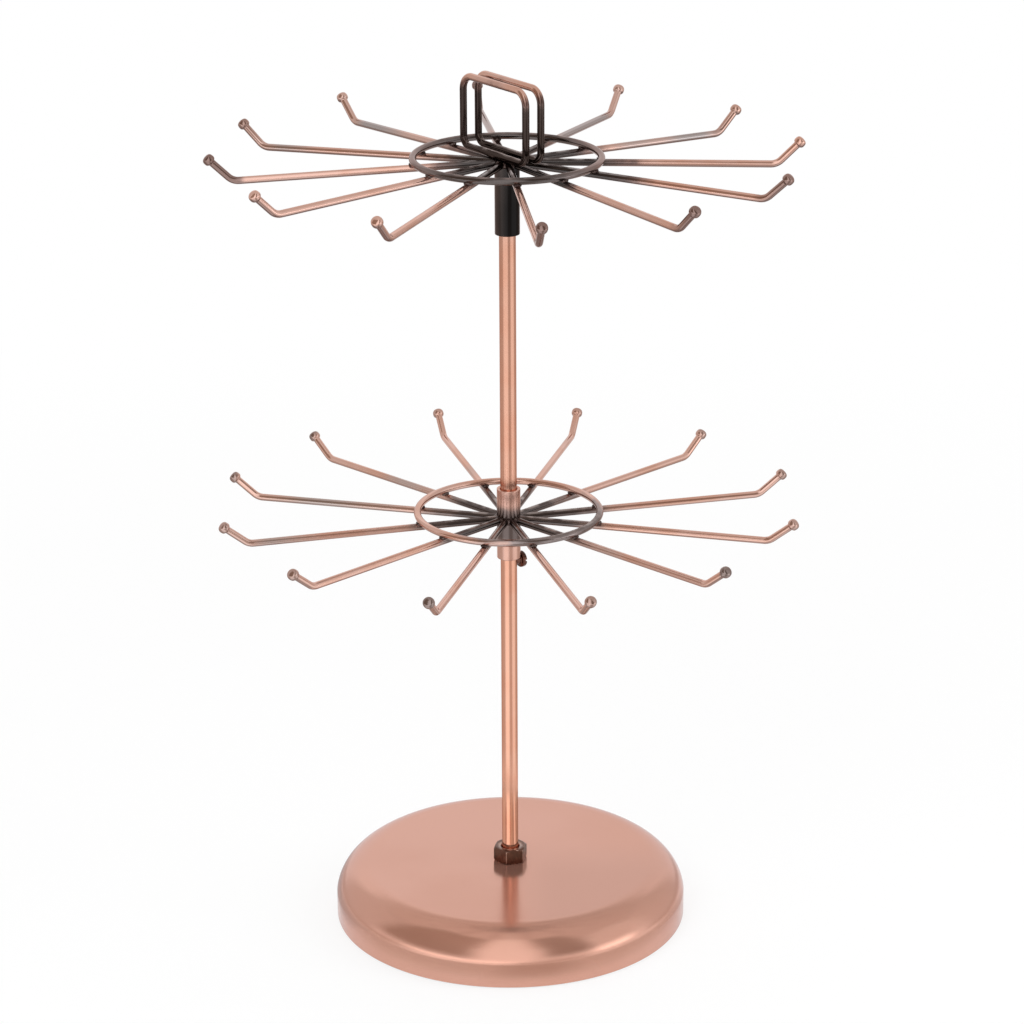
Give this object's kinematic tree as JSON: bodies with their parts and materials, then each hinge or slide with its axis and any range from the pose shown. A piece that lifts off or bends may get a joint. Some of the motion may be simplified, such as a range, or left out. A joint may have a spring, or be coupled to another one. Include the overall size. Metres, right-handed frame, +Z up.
{
  "type": "jewellery stand",
  "caption": "Tall jewellery stand with a weighted round foot, a slim pole and two spinning tiers of hooked wires under a wire grip, for hanging necklaces, bracelets and earrings.",
  "frame": {"origin": "centre of the foot's underside, where the pole's axis meets the surface that the stand rests on", "axes": "+Z up the pole, +X along the twin grip loops on top, +Y across them"},
  "size_m": [0.2464, 0.2464, 0.3705],
  "materials": {
    "copper_foot": "satin copper plate, brushed fine, softly mirror-like",
    "copper_pole": "bright drawn copper plate",
    "copper_wire": "antique copper plate, darkened towards the hub",
    "dark_copper": "oxidised copper plate, rubbed bright on top",
    "black_steel": "satin blackened",
    "bronze_nut": "dark bronze, edges rubbed bright",
    "cast_ballast": "raw casting",
    "rubber_pad": "matt",
    "steel": "zinc plated"
  },
  "bodies": {
    "stand": {"base_shell": "copper_foot", "base_weight": "cast_ballast", "base_pad": "rubber_pad", "base_nut": "bronze_nut", "under_washer": "steel", "under_nut": "steel", "pole": "copper_pole", "support_screw": "black_steel", "pivot_ball": "steel"},
    "lower_tier": {"lower_hub": "copper_pole", "lower_ring": "copper_wire", "lower_hook_01": "copper_wire", "lower_hook_02": "copper_wire", "lower_hook_03": "copper_wire", "lower_hook_04": "copper_wire", "lower_hook_05": "copper_wire", "lower_hook_06": "copper_wire", "lower_hook_07": "copper_wire", "lower_hook_08": "copper_wire", "lower_hook_09": "copper_wire", "lower_hook_10": "copper_wire", "lower_hook_11": "copper_wire", "lower_hook_12": "copper_wire"},
    "upper_tier": {"upper_sleeve": "black_steel", "sleeve_plug": "black_steel", "upper_ring": "dark_copper", "upper_hook_01": "copper_wire", "upper_hook_02": "copper_wire", "upper_hook_03": "copper_wire", "upper_hook_04": "copper_wire", "upper_hook_05": "copper_wire", "upper_hook_06": "copper_wire", "upper_hook_07": "copper_wire", "upper_hook_08": "copper_wire", "upper_hook_09": "copper_wire", "upper_hook_10": "copper_wire", "upper_hook_11": "copper_wire", "upper_hook_12": "copper_wire", "grip_loop_front": "dark_copper", "grip_loop_rear": "dark_copper"}
  },
  "joints": [
    {"name": "lower_tier_spin", "type": "hinge", "parent": "stand", "child": "lower_tier", "pos_m": [0, 0, 0.1826], "axis": [0, 0, 1], "continuous": true},
    {"name": "upper_tier_spin", "type": "hinge", "parent": "stand", "child": "upper_tier", "pos_m": [0, 0, 0.3366], "axis": [0, 0, 1], "continuous": true}
  ]
}
